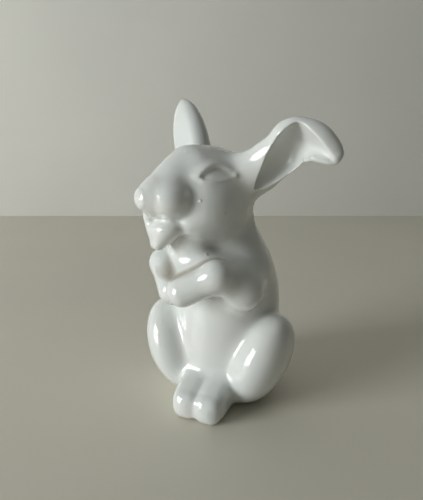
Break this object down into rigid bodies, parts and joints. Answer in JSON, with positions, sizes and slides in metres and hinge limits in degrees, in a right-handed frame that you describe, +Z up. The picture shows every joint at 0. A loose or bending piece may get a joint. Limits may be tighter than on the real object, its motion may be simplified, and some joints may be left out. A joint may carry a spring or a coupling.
{
  "type": "ceramic rabbit figurine",
  "caption": "Glazed white porcelain rabbit sitting upright, turned to its right and laughing, paws drawn up, one ear upright and one swept out.",
  "frame": {"origin": "point of the underside below the front of the body, on the table", "axes": "+Z up, -Y the way the hips face, +X to the rabbit's own left"},
  "size_m": [0.0783, 0.0645, 0.1221],
  "materials": {
    "glaze": "clear gloss glaze over white porcelain",
    "biscuit": "unglazed, matt"
  },
  "bodies": {
    "root": {"torso_shell": "glaze", "base_plate": "biscuit", "head_shell": "glaze", "lower_jaw": "glaze", "right_ear": "glaze", "left_ear": "glaze", "right_arm": "glaze", "left_arm": "glaze", "right_haunch": "glaze", "left_haunch": "glaze", "right_foot": "glaze", "left_foot": "glaze", "tail": "glaze"}
  },
  "joints": []
}
